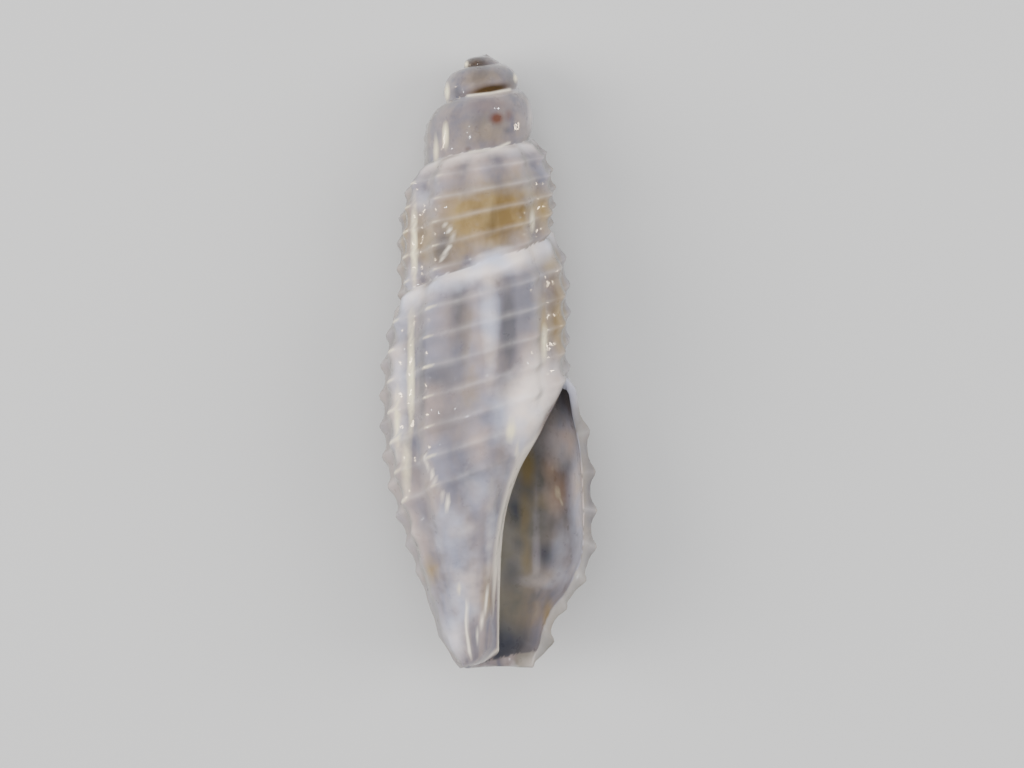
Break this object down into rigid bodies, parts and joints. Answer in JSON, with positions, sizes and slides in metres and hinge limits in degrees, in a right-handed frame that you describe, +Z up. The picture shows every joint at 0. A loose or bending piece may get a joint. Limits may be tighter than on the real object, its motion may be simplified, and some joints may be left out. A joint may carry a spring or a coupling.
{
  "type": "bactrocythara shell",
  "caption": "Tall spindle-shaped sea snail shell with axial ribs crossed by beaded spiral cords, a smooth rounded tip, a long narrow aperture and a short open canal.",
  "frame": {"origin": "centre of the shell's box on the surface that it lies on", "axes": "+Y towards the apex of the spire, +X towards the outer lip, +Z up, out of the aperture"},
  "size_m": [0.0012, 0.0036, 0.0011],
  "materials": {
    "shell": "glossy translucent greyish white lime with tan and honey tints"
  },
  "bodies": {
    "root": {"shell": "shell"}
  },
  "joints": []
}
